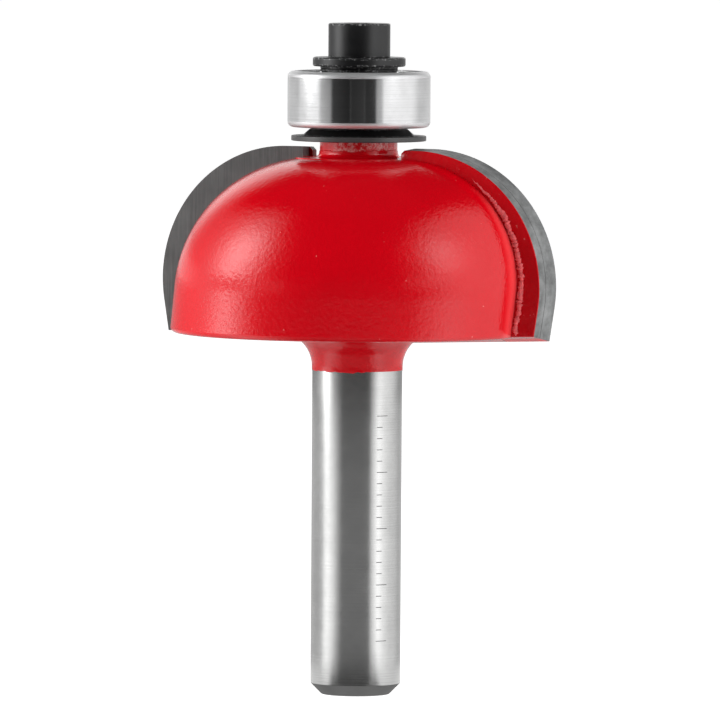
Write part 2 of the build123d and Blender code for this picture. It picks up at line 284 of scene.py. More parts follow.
def stacked_loops(loops):
    """Shell through a stack of closed loops, each end closed by a fan to its loop's middle."""
    first, last = (np.broadcast_to(loop.mean(0), loop.shape) for loop in (loops[0], loops[-1]))
    vertices, faces, _ = grid_shell(np.concatenate([first[None], loops, last[None]]), poles=(True, True))
    return vertices, faces


def joined(shells):
    """Several shells as one list of vertices and one of faces."""
    vertices, faces = [], []
    for points, polygons in shells:
        start = sum(map(len, vertices))
        faces += [[start + corner for corner in face] for face in polygons]
        vertices.append(points)
    return np.concatenate(vertices), faces


def both_sides(name, *stacks):
    """Name and shell of a piece on each side: x and y of the second are those of the first times -1."""
    for number, sign in ((1, 1), (2, -1)):
        yield f"{name}_{number}", joined([stacked_loops(loops * (sign, sign, 1)) for loops in stacks])


def around_axis(radius, height, angles):
    """Points (r cos t, r sin t, z), with radius and height given for each row or for each row and angle."""
    radius, height, turn = np.broadcast_arrays(radius, height, angles)
    return np.stack([radius * np.cos(turn), radius * np.sin(turn), height], -1)


def smooth_noise(places, seed, knots):
    """Value noise between -1 and 1 along a line: random heights at even knots, joined by cosine steps."""
    heights = np.random.default_rng(seed).uniform(-1, 1, knots + 1)
    heights[-1] = heights[0]
    along = np.clip(places, 0, 1) * knots
    knot = np.minimum(along.astype(int), knots - 1)
    ease = (1 - np.cos(math.pi * (along - knot))) / 2
    return heights[knot] * (1 - ease) + heights[knot + 1] * ease


def eased(value, first, last):
    """0 before the first value, 1 after the last, and the smooth cubic 3 t t - 2 t t t between."""
    share = np.clip((value - first) / (last - first), 0, 1)
    return share * share * (3 - 2 * share)


def add_object(name, data):
    """New object at the origin, in the scene."""
    item = bpy.data.objects.new(name, data)
    bpy.context.scene.collection.objects.link(item)
    return item


def add_mesh(name, vertices, faces, **values):
    """New mesh object, with a named value for each vertex where one is given."""
    mesh = bpy.data.meshes.new(name)
    mesh.from_pydata(np.asarray(vertices).tolist(), [], faces)
    for title, value in values.items():
        if value is not None:
            attribute = mesh.attributes.new(title, "FLOAT", "POINT")
            attribute.data.foreach_set("value", np.ravel(value).astype(np.float32))
    return add_object(name, mesh)


def add_piece(name, shell, finishes, slot, body="cutter", node=None, edge=None):
    """Smooth, creased piece that faces outwards, rides on a body and may stand for a CAD node."""
    piece = add_mesh(name, *shell, edge=edge)
    for title in finishes:
        piece.data.materials.append(finish(title))
    shape = bmesh.new()
    shape.from_mesh(piece.data)
    bmesh.ops.recalc_face_normals(shape, faces=shape.faces)
    shape.to_mesh(piece.data)
    shape.free()
    piece.data.shade_smooth()
    piece.data.set_sharp_from_angle(angle=35 * DEGREE)
    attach(piece, body)
    if node is not None:
        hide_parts(node)
    return piece


def face_values(piece):
    """Centre and normal of each face, as arrays."""
    polygons = piece.data.polygons
    centre, normal = np.empty(len(polygons) * 3), np.empty(len(polygons) * 3)
    polygons.foreach_get("center", centre)
    polygons.foreach_get("normal", normal)
    return centre.reshape(-1, 3), normal.reshape(-1, 3)


def dress_faces(piece, choices):
    """Give each face the number of the last choice, a (number, mask) pair, that holds for it."""
    kind = np.zeros(len(piece.data.polygons), np.int32)
    for number, mask in choices:
        kind[mask] = number
    piece.data.polygons.foreach_set("material_index", kind)


def carried_round(radius, height, edge, angles, closed=False):
    """Shell and edge values of a profile carried round Z, its ends on the axis unless it is closed."""
    poles = (not closed, not closed)
    vertices, faces, kept = grid_shell(around_axis(radius, height, angles), closed, poles)
    return (vertices, faces), np.repeat(edge, len(angles))[kept]


def turned(name, rows, finishes, slot, body="cutter", node=None, closed=False, columns=240, steps=8):
    """Profile carried round Z: a point at radius r and height z becomes (r cos t, r sin t, z).

    A row is a corner's radius, height and rounding. The corners run anticlockwise in the (r, z) plane, from
    the axis to the axis unless closed.
    """
    profile, edge = rounded_outline(rows, steps, closed)
    angles = np.linspace(0, ROUND, columns, endpoint=False)
    shell, edge = carried_round(profile[:, :1], profile[:, 1:], edge, angles, closed)
    return add_piece(name, shell, finishes, slot, body, node, edge)


# ---- Finishes ----

MIX_FACTOR, MIX_FIRST, MIX_SECOND, MIX_RESULT = 0, 6, 7, 2


def made_once(name, surface):
    """Material of a name, made on first use; its surface is a function of its node tree."""
    material = bpy.data.materials.get(name)
    if material is None:
        material = bpy.data.materials.new(name)
        material.use_nodes = True
        material.node_tree.nodes.clear()
        add_node(material.node_tree, "OutputMaterial", {"Surface": surface(material.node_tree)})
    return material


def feed(socket, value):
    """Link an input to an output, or set it to a number, a vector or an RGB colour."""
    if isinstance(value, bpy.types.NodeSocket):
        socket.id_data.links.new(value, socket)
    else:
        socket.default_value = (*value, 1) if socket.type == "RGBA" else value


def add_node(near, kind, inputs, output=0, **settings):
    """New shader node in a tree or in a socket's tree, with its inputs fed; returns one of its outputs."""
    node = near.id_data.nodes.new("ShaderNode" + kind)
    for name, value in settings.items():
        setattr(node, name, value)
    for key, value in inputs.items():
        if value is not None:
            feed(node.inputs[key], value)
    return node.outputs[output] if node.outputs else None


def stretched(place, scale):
    """Coordinates times a scale on each axis."""
    return add_node(place, "Mapping", {"Vector": place, "Scale": scale})


def noise(place, scale, detail=2.0, roughness=0.5):
    """Noise value over a coordinate."""
    inputs = {"Vector": place, "Scale": scale, "Detail": detail, "Roughness": roughness}
    return add_node(place, "TexNoise", inputs, "Fac")


def ramp(value, low, high, first, last):
    """Value from low to high mapped onto first to last, held at both ends."""
    inputs = {"Value": value, "From Min": low, "From Max": high, "To Min": first, "To Max": last}
    return add_node(value, "MapRange", inputs)


def combine(operation, *values):
    """Math node on values, the first a socket and the others sockets or numbers."""
    return add_node(values[0], "Math", dict(enumerate(values)), operation=operation)


def mixed(first, second, share):
    """Two values, the second with a share of the whole."""
    return combine("ADD", combine("MULTIPLY", first, 1 - share), combine("MULTIPLY", second, share))


def blend(factor, first, second):
    """Colour between two colours, each a socket or an RGB value."""
    inputs = {MIX_FACTOR: factor, MIX_FIRST: first, MIX_SECOND: second}
    return add_node(factor, "Mix", inputs, MIX_RESULT, data_type="RGBA")


def tones(value, base, low, high):
    """Colour from a dark to a light version of a base colour as a value goes from 0.35 to 0.65."""
    dark, light = (tuple(min(1, level * part) for part in base) for level in (low, high))
    return blend(ramp(value, 0.35, 0.65, 0, 1), dark, light)


def bump(height, distance, strength=1.0, under=None):
    """Normal of a surface raised by a height value, over another bump if one is given."""
    inputs = {"Height": height, "Distance": distance, "Strength": strength, "Normal": under}
    return add_node(height, "Bump", inputs)


def radius_and_height(place):
    """Coordinate (distance from Z, 0, z), in which turning marks are straight lines."""
    x, y, z = add_node(place, "SeparateXYZ", {"Vector": place}).node.outputs
    square = combine("ADD", combine("MULTIPLY", x, x), combine("MULTIPLY", y, y))
    return add_node(place, "CombineXYZ", {"X": combine("SQRT", square), "Z": z})


def own_value(near, name="edge"):
    """A mesh's own attribute; a piece's edge is 1 on rounded corners and worn places, and on a lobe where its
    painted highlight lies, 0 elsewhere.
    """
    return add_node(near, "Attribute", {}, "Fac", attribute_name=name)


def red_enamel(place, base, worn=None, painted_highlight=None):
    """Enamel with orange peel, slow changes of depth and dust specks; edges are scuffed, or lightened as a
    painted highlight.
    """
    colours = tones(noise(place, 160, 3), base, 0.93, 1.0)
    speck = ramp(noise(place, 2600, 1), 0.79, 0.81, 0, 0.35)
    colours = blend(speck, colours, (0.8, 0.3, 0.28))
    # Painted highlight: the enamel turns pale red where the mesh's edge value is 1.
    if painted_highlight is not None:
        colours = blend(own_value(place), colours, painted_highlight)
    if worn is not None:
        patch = ramp(noise(place, 260, 1), 0.46, 0.56, 0, 1)
        scratch = ramp(noise(place, 2300, 5, 0.75), 0.46, 0.6, 0, 0.75)
        scuff = combine("MULTIPLY", patch, scratch)
        colours = blend(combine("MULTIPLY", own_value(place), scuff), colours, worn)
    peel = noise(place, 2600, 2, 0.6)
    rough = ramp(peel, 0.3, 0.7, 0.12, 0.17)
    waves = bump(noise(place, 700, 1), 0.012 * MM, 0.6)
    return {"Base Color": colours, "Roughness": rough, "Normal": bump(peel, 0.03 * MM, 1.0, waves)}


def pooled_enamel(place, base):
    """Dull, rough enamel where it has collected, in a light colour that is partly painted light."""
    grain = noise(place, 3200, 4, 0.7)
    rough = ramp(grain, 0.3, 0.7, 0.45, 0.65)
    return {"Base Color": tones(grain, base, 0.7, 1.15), "Roughness": rough, "Normal": bump(grain, 0.03 * MM)}


def turned_steel(place, base, roughness, groove, marks, metallic=1.0, contrast=0.12, worn=None, satin=0.0):
    """Metal with fine turning marks round the axis, so many to a metre, and cloudy roughness.

    Worn edges show a second colour. Satin edges are rougher and less metallic.
    """
    lines = noise(stretched(radius_and_height(place), (marks, 1, marks)), 1, 2, 0.7)
    shade = mixed(lines, noise(place, 500, 4, 0.6), 0.5)
    colours = tones(shade, base, 1 - contrast, 1 + 0.6 * contrast)
    rough = ramp(shade, 0.3, 0.7, 0.8 * roughness, 1.2 * roughness)
    if worn is not None:
        flecks = ramp(noise(place, 4200, 3, 0.7), 0.54, 0.64, 0, 0.8)
        colours = blend(combine("MULTIPLY", own_value(place), flecks), colours, worn)
    if satin:
        edge = own_value(place)
        metallic = ramp(edge, 0, 1, metallic, 0.7)
        rough = combine("MAXIMUM", rough, combine("MULTIPLY", edge, satin))
    return {"Base Color": colours, "Metallic": metallic, "Roughness": rough, "Normal": bump(lines, groove)}


def ground_carbide(place, base):
    """Dark carbide with straight grinding lines up the rake face and faint clouds."""
    lines = noise(stretched(place, (7000, 2500, 200)), 1, 3, 0.6)
    shade = mixed(lines, noise(place, 420, 3), 0.35)
    return {
        "Base Color": tones(shade, base, 0.75, 1.25),
        "Specular IOR Level": 0.12,
        "Roughness": ramp(shade, 0.3, 0.7, 0.35, 0.45),
        "Normal": bump(lines, 0.002 * MM, 0.6),
    }


def ground_land(place, base):
    """Mottled ground land behind the cutting edge, with faint cross grinding."""
    shade = mixed(noise(place, 1100, 5, 0.65), noise(place, 330, 2), 0.4)
    lines = noise(stretched(place, (1500, 9000, 1500)), 1, 2)
    return {
        "Base Color": tones(shade, base, 0.45, 1.25),
        "Metallic": 0.3,
        "Roughness": ramp(shade, 0.3, 0.7, 0.55, 0.42),
        "Normal": bump(lines, 0.002 * MM, 0.5),
    }


def steel(roughness, groove, marks, **more):
    """Maker of a turned steel, its grooves given in millimetres and its marks for each metre."""
    return partial(turned_steel, roughness=roughness, groove=groove * MM, marks=marks, **more)


# For each finish, the user's colour that it starts from and what makes it.
FINISHES = {
    "red_enamel": ("enamel", red_enamel),
    # Lobe enamel carries a painted highlight behind each wing.
    "lobe_enamel": ("enamel", partial(red_enamel, painted_highlight=(0.7, 0.04, 0.045))),
    "scuffed_enamel": ("enamel", partial(red_enamel, worn=(0.75, 0.42, 0.4))),
    "pooled_enamel": ("pooled", pooled_enamel),
    "bare_end": ("bare", pooled_enamel),
    "carbide": ("carbide", ground_carbide),
    "ground_land": ("land", ground_land),
    "ground_steel": ("steel", steel(0.2, 0.0012, 9000)),
    "polished_steel": ("polished", steel(0.12, 0.0002, 12000, satin=0.4)),
    "pressed_steel": ("pressed", steel(0.35, 0.001, 3000)),
    "dark_washer": ("washer", steel(0.42, 0.003, 7000, metallic=0.3, contrast=0.3)),
    "black_oxide": ("oxide", steel(0.36, 0.002, 5000, metallic=0.0, contrast=0.25, worn=(0.3, 0.3, 0.3))),
    "etched": ("etched", steel(0.6, 0.002, 4000, metallic=0.3)),
}


def finish(name):
    """A finish by name, on Object coordinates, from the user's colours."""
    tint, maker = FINISHES[name]

    def surface(tree):
        base = tuple(getattr(bpy.context.scene.bit_colours, tint))
        return add_node(tree, "BsdfPrincipled", maker(add_node(tree, "TexCoord", {}, "Object"), base))

    return made_once(f"{name}_surface", surface)


# ---- Operators, one for each piece or group of like pieces ----

SHARP = 0.03 * MM
BROKEN = 0.05 * MM


class BIT_OT_shank(bpy.types.Operator):
    """Ground shank with a chamfered end, and the unpainted spigot under the bearing"""

    bl_idname = "bit.shank"
    bl_label = "Shank and spigot"

    def execute(self, context):
        head, size = context.scene.bit_head, context.scene.bit_bearing
        radius, chamfer = head.shank_radius, head.shank_chamfer
        under_paint = head.paint_line + 0.6 * MM
        rows = [
            (0, 0, 0), (radius - chamfer, 0, 0.06 * MM), (radius, chamfer, 0.08 * MM),
            (radius, under_paint, 0.05 * MM), (0, under_paint, 0),
        ]
        turned("shank", rows, ["ground_steel"], "ground_steel", node="body")
        hole, outside = size.tapped_hole, size.spigot_radius
        low, high = disc_low.z - 0.4 * MM, body_high.z
        rows = [(hole, low, 0.02 * MM), (outside, low, 0.02 * MM)]
        rows += [(outside, high, 0.2 * MM), (hole, high, 0.1 * MM)]
        turned("spigot", rows, ["ground_steel"], "ground_steel", closed=True)
        return {"FINISHED"}


def gullet_root(head, angles):
    """Distance of the gullet root from the axis at each angle, or a large value outside both gullets.

    The root is a chord, its distance root * cos(g / 2) / cos(t - g / 2), with a rounded corner at the tail.
    """
    turn = angles % math.pi
    opening, corner = head.gullet_angle, head.gullet_corner
    chord = head.gullet_root * math.cos(opening / 2) / np.cos(turn - opening / 2)
    gap = chord * np.sin(np.clip(opening - turn, 0, math.pi / 2))
    rounding = corner - np.sqrt(np.clip(corner**2 - (corner - gap) ** 2, 0, None))
    return np.where(turn <= opening, chord + np.where(gap < corner, rounding, 0), 1.0)


class BIT_OT_core(bpy.types.Operator):
    """Enamelled flare, core and neck, cut by the gullets, with ragged ends to the enamel"""

    bl_idname = "bit.core"
    bl_label = "Flare, core and neck"

    def execute(self, context):
        head = context.scene.bit_head
        line, proud, bend = head.paint_line, head.paint_thickness, head.flare_radius
        start, outer, painted = head.base - bend, head.shank_radius + bend, head.shank_radius + proud
        lip_rows = [(0, line, 0), (painted, line, 0.9 * proud), (painted, start, 0)]
        lip, _ = rounded_outline(lip_rows, closed=False, margin=0.01 * MM)
        sweep = np.linspace(0, math.pi / 2, 24)
        flare = np.stack([outer - (bend - proud) * np.cos(sweep), start + (bend - proud) * np.sin(sweep)], -1)
        crown, neck = head.top - 0.01 * MM, head.neck_radius
        step, ledge = 0.05 * MM, crown + head.neck_step
        rows = [
            (outer, head.base, 0), (head.core_radius, crown, 0.1 * MM),
            (neck + step, crown, head.neck_fillet), (neck + step, ledge, 0.02 * MM),
            (neck, ledge + step, 0.03 * MM), (neck, disc_low.z, 0.12 * MM), (0, disc_low.z, 0),
        ]
        upper, _ = rounded_outline(rows, closed=False, margin=0.02 * MM)
        profile = np.concatenate([lip[:-1], flare, upper])
        gap = 0.02 * DEGREE
        walls = np.array([0, head.gullet_angle, math.pi, math.pi + head.gullet_angle])
        even = np.linspace(0.3 * DEGREE, ROUND, 360, endpoint=False)
        angles = np.sort(np.concatenate([even, walls - gap, walls + gap]) % ROUND)
        radius = np.minimum(profile[:, :1], gullet_root(head, angles)[None])
        around = angles / ROUND
        ragged = 0.06 * MM * smooth_noise(around, 5, 60) + 0.05 * MM * smooth_noise(around, 9, 15)
        height = profile[:, 1:]
        at_line = (height < line + 0.02 * MM) & (profile[:, :1] > 0)
        at_ledge = np.abs(height - ledge) < 0.09 * MM
        height = height + np.where(at_line, ragged, 0) + np.where(at_ledge, 1.2 * ragged, 0)
        on_neck = np.clip((profile[:, 1] - ledge) / (0.1 * MM), 0, 1)
        shell, scuffed = carried_round(radius, height, on_neck, angles)
        add_piece("core", shell, ["scuffed_enamel"], "tool_steel_painted", node="body", edge=scuffed)
        return {"FINISHED"}


LOBE_START, LOBE_END = 4 * DEGREE, 176 * DEGREE
LOBE_INSIDE = 2.4 * MM


def lobe_section(head, turn, inset):
    """Half-plane sections of a lobe at angles behind its wing, each drawn in by an inset.

    Rim, lean and shoulder change evenly from their leading to their trailing value over the lobe. A side
    starts at (rim, base) and leans in by tan(lean) for each unit of height, up to the flat crown.
    """
    share = (np.asarray(turn, float) - LOBE_START) / (LOBE_END - LOBE_START)
    share, inset = np.broadcast_arrays(share, inset)
    rim = head.leading_rim + share * (head.trailing_rim - head.leading_rim) - inset
    lean = head.leading_lean + share * (head.trailing_lean - head.leading_lean)
    shoulder = head.leading_shoulder + share * (head.trailing_shoulder - head.leading_shoulder)
    base, top = head.base + inset, head.top - inset
    upper = rim - (head.top - head.base) * np.tan(lean)
    inner, small = np.full_like(rim, LOBE_INSIDE), np.full_like(rim, 0.1 * MM)
    rounding = np.maximum(head.rim_rounding - inset, small)
    rows = [(inner, base, small), (rim, base, rounding), (upper, top, shoulder - inset), (inner, top, small)]
    return rounded_outline(np.moveaxis(np.array(rows), (0, 1), (-2, -1)), steps=40)[0]


def lobe_loops(head):
    """Sections of one lobe from behind its wing to its tail, each a closed loop.

    Near the tail the section shrinks by e - sqrt(e^2 - (e - s)^2), with s the distance to the end and e the
    rounding.
    """
    end = math.pi - head.gullet_angle
    reach = head.tail_rounding / (0.8 * head.trailing_rim)
    steady = np.linspace(2 * DEGREE, end - reach, 150)
    closing = end - reach * np.cos(np.linspace(0, math.pi / 2, 9)[1:])
    turn = np.concatenate([steady, closing, [end, end]])
    rest = np.clip((end - turn) / reach, 0, 1)
    inset = head.tail_rounding * (1 - np.sqrt(1 - (1 - rest) ** 2))
    inset[-1] = head.tail_rounding + 0.3 * MM
    section = lobe_section(head, turn, inset)
    return around_axis(section[..., 0], section[..., 1], -turn[:, None])


class BIT_OT_lobes(bpy.types.Operator):
    """The two enamelled lobes, with a painted highlight in the corner behind each wing"""

    bl_idname = "bit.lobes"
    bl_label = "Lobes"

    def execute(self, context):
        for name, shell in both_sides("lobe", lobe_loops(context.scene.bit_head)):
            x, y, z = shell[0].T
            behind = -np.arctan2(y, x) % math.pi
            # Painted highlight: 1 up to about 11 to 15 degrees behind the wing and below 43 to 46 mm.
            painted_highlight = (1 - eased(behind, 11 * DEGREE, 15 * DEGREE)) * (1 - eased(z, 43 * MM, 46 * MM))
            add_piece(name, shell, ["lobe_enamel"], "tool_steel_painted", node="body", edge=painted_highlight)
        return {"FINISHED"}


def cove_centre(wing):
    """Middle (x, z) of the cutting arc."""
    return np.array([tip_high.x, tip_high.z]) - wing.cove_radius


def foot_line(wing, depth, x):
    """Height of a wing's foot at a depth behind the rake face: base + d tan f, less its dish inwards."""
    lean = wing.flank_angle
    flank_x, flank_z = cove_centre(wing) + wing.cove_radius * np.array([math.cos(lean), -math.sin(lean)])
    foot_x = flank_x - (flank_z - wing.base) * math.tan(lean)
    slope = wing.base_dish / (foot_x - wing.inner_end)
    return wing.base + depth * math.tan(wing.foot_relief) - slope * (foot_x - np.asarray(x))


def wing_outline(wing, depth, inset=0.0):
    """Outer edge, foot and inner end of a wing at a depth behind the rake face, drawn in by an inset.

    At depth d the cutting outline moves by (-d tan a, -d tan c), with a the radial and c the crown relief.
    The inset i shortens the arc's radius to R - i and lifts the foot by i. Points are (x, z), from the top
    of the inner end.
    """
    centre = cove_centre(wing) - depth * np.array([math.tan(wing.radial_relief), math.tan(wing.crown_relief)])
    arc = np.linspace(math.pi / 2, -wing.flank_angle, 90)
    curve = centre + (wing.cove_radius - inset) * np.stack([np.cos(arc), np.sin(arc)], -1)
    inner, corner = wing.inner_end + inset, 0.3 * MM
    crown = np.linspace((inner + corner, curve[0, 1]), curve[0], 12, endpoint=False)
    down = np.array([-math.sin(wing.flank_angle), -math.cos(wing.flank_angle)])
    slope = foot_line(wing, depth, 1) - foot_line(wing, depth, 0)
    above = curve[-1, 1] - foot_line(wing, depth, curve[-1, 0]) - inset
    foot = curve[-1] + down * above / (slope * down[0] - down[1])
    flank = np.linspace(curve[-1], foot, 16)[1:]
    inner_foot = (inner, foot_line(wing, depth, inner) + inset)
    base = np.linspace(foot, inner_foot, 30)[1:]
    end = np.linspace(inner_foot, (inner, curve[0, 1] - corner), 20)[1:]
    return np.concatenate([crown, curve, flank]), base, end


def seat_line(wing, depth, gap, count):
    """Edge of the tip's seat, moved out by a gap: from the crown across the cut corner to the foot."""
    side, crown = tip_high.x - wing.tip_width + gap, tip_high.z - wing.crown_height + gap
    cut = [(side - wing.seat_cut, crown), (side, crown - wing.seat_cut)]
    path = [(wing.inner_end, crown), *cut, (side, foot_line(wing, depth, side))]
    return evenly(np.array(path), count)


def at_depth(outline, depth):
    """Wing points (x, z) set back from the rake face by a depth: (x, -depth, z)."""
    return np.stack([outline[..., 0], np.full(outline.shape[:-1], -depth), outline[..., 1]], -1)


class BIT_OT_wings(bpy.types.Operator):
    """Steel wings that carry the tips, enamelled on the back and ground on the clearance"""

    bl_idname = "bit.wings"
    bl_label = "Wings"

    def execute(self, context):
        wing = context.scene.bit_wing
        seat, back = wing.tip_thickness + wing.braze, wing.thickness
        stations = [(seat, 0.3 * MM), (seat, 0), ((seat + back) / 2, 0), (back - BROKEN, 0), (back, BROKEN)]
        stations.append((back, 0.4 * MM))
        backing = [at_depth(np.concatenate(wing_outline(wing, d, inset)), d) for d, inset in stations]
        block, inner = [], wing.inner_end - 0.4 * MM
        for depth, gap in ((0, -0.3 * MM), (0, -SHARP), (SHARP, 0), (seat + 0.1 * MM, 0)):
            line = seat_line(wing, depth, gap, 60)
            closing = [(inner, foot_line(wing, depth, inner)), (inner, line[0, 1])]
            block.append(at_depth(np.concatenate([line, closing]), depth))
        finishes = ["red_enamel", "ground_land", "bare_end"]
        for name, shell in both_sides("wing", np.stack(backing), np.stack(block)):
            piece = add_piece(name, shell, finishes, "tool_steel_painted", node="body")
            centre, normal = face_values(piece)
            side_on = (np.abs(normal[:, 1]) < 0.6) & (np.abs(centre[:, 1]) > seat)
            at_end = side_on & (np.abs(centre[:, 0]) < wing.inner_end + BROKEN)
            foot = (normal[:, 2] < -0.8) & (centre[:, 2] < wing.base + 0.8 * MM)
            # Painted highlight: the inner end of the second wing gets the light pink finish.
            highlighted_end = 2 if name == "wing_2" else 0
            dress_faces(piece, [(1, side_on), (highlighted_end, at_end), (0, foot)])
        return {"FINISHED"}


class BIT_OT_tips(bpy.types.Operator):
    """Brazed carbide tips with clearance ground behind the cutting edge"""

    bl_idname = "bit.tips"
    bl_label = "Carbide tips"

    def execute(self, context):
        wing = context.scene.bit_wing
        depth = wing.tip_thickness
        edges = [at_depth(wing_outline(wing, d)[0], d) for d in (0, 0.02 * MM, 0.5 * depth, depth)]
        back, front = (at_depth(seat_line(wing, d, wing.braze, len(edges[0])), d) for d in (depth, 0))
        loops = np.stack(edges + [(edges[-1] + back) / 2, back, front, (front + edges[0]) / 2], 1)
        finishes = ["carbide", "ground_land", "pooled_enamel"]
        for name, shell in both_sides("carbide", loops):
            piece = add_piece(name, shell, finishes, "carbide", node=name.replace("_", "_tip_"))
            centre, normal = face_values(piece)
            ground = (np.abs(normal[:, 1]) < 0.6) & (np.abs(centre[:, 0]) > wing.inner_end + BROKEN)
            # Feet get the light dull enamel: real enamel there, its pink partly painted light from the floor.
            foot = (normal[:, 2] < -0.8) & (centre[:, 2] < wing.base + 0.5 * MM)
            dress_faces(piece, [(1, ground), (2, foot)])
        return {"FINISHED"}


def bead_loops(head, wing, count=520):
    """Loops round a bead of enamel, each point at centre + s (cos t across + 0.7 sin t inwards).

    The centre wanders along the lobe's section at the back of the wing. The size s swells in ribs and
    fades at both ends, with a fine grain.
    """
    section = lobe_section(head, 8.5 * DEGREE, 0)
    outside = section[(section[:, 0] > 8 * MM) & (section[:, 1] > head.base + 0.35 * MM)]
    radius, height = evenly(outside, count, 0.78).T
    share = np.linspace(0, 1, count)
    x = np.sqrt(radius**2 - wing.thickness**2)
    centre = np.stack([x, np.full_like(x, -wing.thickness), height], -1)
    inwards = np.array([0, 1.0, 0])
    across = np.cross(unit(np.gradient(centre, axis=0)), inwards)
    across *= np.sign(across[:, :1])
    wander = 0.34 * MM + 0.09 * MM * smooth_noise(share, 14, 18) + 0.06 * MM * smooth_noise(share, 15, 70)
    fade = np.clip(np.minimum(share / 0.02, (1 - share) / 0.3), 0.02, 1) ** 0.8
    size = wing.bead * fade * (1 + 0.25 * smooth_noise(share, 3, 60) + 0.3 * smooth_noise(share, 8, 200))
    around = np.linspace(0, ROUND, 16, endpoint=False)
    grain = np.random.default_rng(21).uniform(-0.03, 0.03, (count, 16)) * MM * fade[:, None]
    sideways = wander[:, None] + size[:, None] * np.cos(around) + grain
    deep = 0.7 * size[:, None] * np.sin(around)
    return centre[:, None] + sideways[..., None] * across[:, None] + deep[..., None] * inwards


class BIT_OT_paint_beads(bpy.types.Operator):
    """Ragged bead of collected enamel, its light pink partly a painted highlight, where each lobe meets the
    back of its wing
    """

    bl_idname = "bit.paint_beads"
    bl_label = "Paint beads"

    def execute(self, context):
        loops = bead_loops(context.scene.bit_head, context.scene.bit_wing)
        for name, shell in both_sides("paint_bead", loops):
            add_piece(name, shell, ["pooled_enamel"], "tool_steel_painted")
        return {"FINISHED"}


# What the CAD's own inner pieces are made of, by the start of the node's name.
INNER_FINISHES = {
    "ball": "polished_steel",
    "bearing_inner": "polished_steel",
    "cage": "pressed_steel",
    "snap": "pressed_steel",
}


class BIT_OT_bearing(bpy.types.Operator):
    """Polished outer ring, pressed shields, and finishes for the rings, balls and cages inside"""

    bl_idname = "bit.bearing"
    bl_label = "Guide bearing"

    def execute(self, context):
        size = context.scene.bit_bearing
        low, high = ring_low.z, ring_high.z
        middle = (low + high) / 2
        inset, sheet, bore, rim = size.shield_inset, size.shield_sheet, size.shield_bore, size.shield_rim
        seat, deep = size.shield_seat, inset + sheet
        sweep = np.linspace(50 * DEGREE, -50 * DEGREE, 15)
        groove_x = size.groove - size.groove_arc * (1 - np.cos(sweep))
        groove_z = middle + size.groove_arc * np.sin(sweep)
        groove = np.stack([groove_x, groove_z, np.full_like(sweep, 0.01 * MM)], -1)
        rows = [
            (size.land, low + deep, SHARP), (seat, low + deep, SHARP), (seat, low, 0.1 * MM),
            (ring_high.x, low, size.corner), (ring_high.x, high, size.corner), (seat, high, 0.1 * MM),
            (seat, high - deep, SHARP), (size.land, high - deep, SHARP),
            *groove[groove_x > size.land],
        ]
        finishes, slot, body = ["polished_steel"], "bearing_steel", "outer_race"
        turned("outer_ring", rows, finishes, slot, body, "bearing_outer_ring", closed=True, columns=300)
        for side, end in ((1, "upper"), (-1, "lower")):
            face = middle + side * ((high - low) / 2 - inset)
            back, step = face - side * sheet, face - side * size.shield_step
            path = [(bore, back), (rim, back), (rim, face), (size.step_start, face), (size.step_end, step)]
            path += [(bore + size.lip_start, step), (bore + size.lip_width, face), (bore, face)]
            rows = [(*corner, 0.02 * MM) for corner in path[::side]]
            node, finishes, slot = f"shield_{end}", ["pressed_steel"], "shield_steel"
            turned(f"{node}_pressed", rows, finishes, slot, body, node, closed=True, columns=160, steps=4)
        for node, part in frame["nodes"].items():
            for start in filter(node.startswith, INNER_FINISHES):
                part.data.materials.clear()
                part.data.materials.append(finish(INNER_FINISHES[start]))
        return {"FINISHED"}


class BIT_OT_washers(bpy.types.Operator):
    """Lower washer with its sloping boss, and the rounded upper washer"""

    bl_idname = "bit.washers"
    bl_label = "Washers"

    def execute(self, context):
        size = context.scene.bit_bearing
        pad, bore, rim, low, high = size.pad_radius, size.disc_bore, disc_high.x, disc_low.z, disc_high.z
        disc = low + size.disc_thickness
        boss = disc + size.boss_height
        rows = [
            (bore, low, SHARP), (rim, low, 0.08 * MM), (rim, disc, 0.08 * MM),
            (size.boss_foot, disc, 0.1 * MM), (size.boss_top, boss, BROKEN), (pad, boss, 0.02 * MM),
            (pad, high, SHARP), (bore, high, SHARP),
        ]
        finishes = ["dark_washer", "black_oxide"]
        lower = turned("disc_washer", rows, finishes, "dark_washer", node="lower_washer", closed=True)
        centre, _ = face_values(lower)
        reach = np.hypot(centre[:, 0], centre[:, 1])
        # Painted shade: the top of the washer under the bearing gets the near-black finish, darker than the
        # washer's rim and sides.
        dress_faces(lower, [(1, (centre[:, 2] > disc - 0.005 * MM) & (reach < rim - 0.3 * MM))])
        bore, rim, low, high = size.flange_bore, flange_high.x, flange_low.z, flange_high.z
        flange, groove = high - size.flange_thickness, 0.05 * MM
        middle = (low + flange) / 2
        rows = [
            (bore, low, SHARP), (pad, low, BROKEN), (pad, middle - groove, 0.01 * MM),
            (pad - groove, middle, 0.01 * MM), (pad, middle + groove, 0.01 * MM), (pad, flange, BROKEN),
            (rim, flange, 0.17 * MM), (rim, high, 0.17 * MM), (bore, high, SHARP),
        ]
        turned("cap_washer", rows, ["black_oxide"], "black_oxide_steel", node="upper_washer", closed=True)
        return {"FINISHED"}


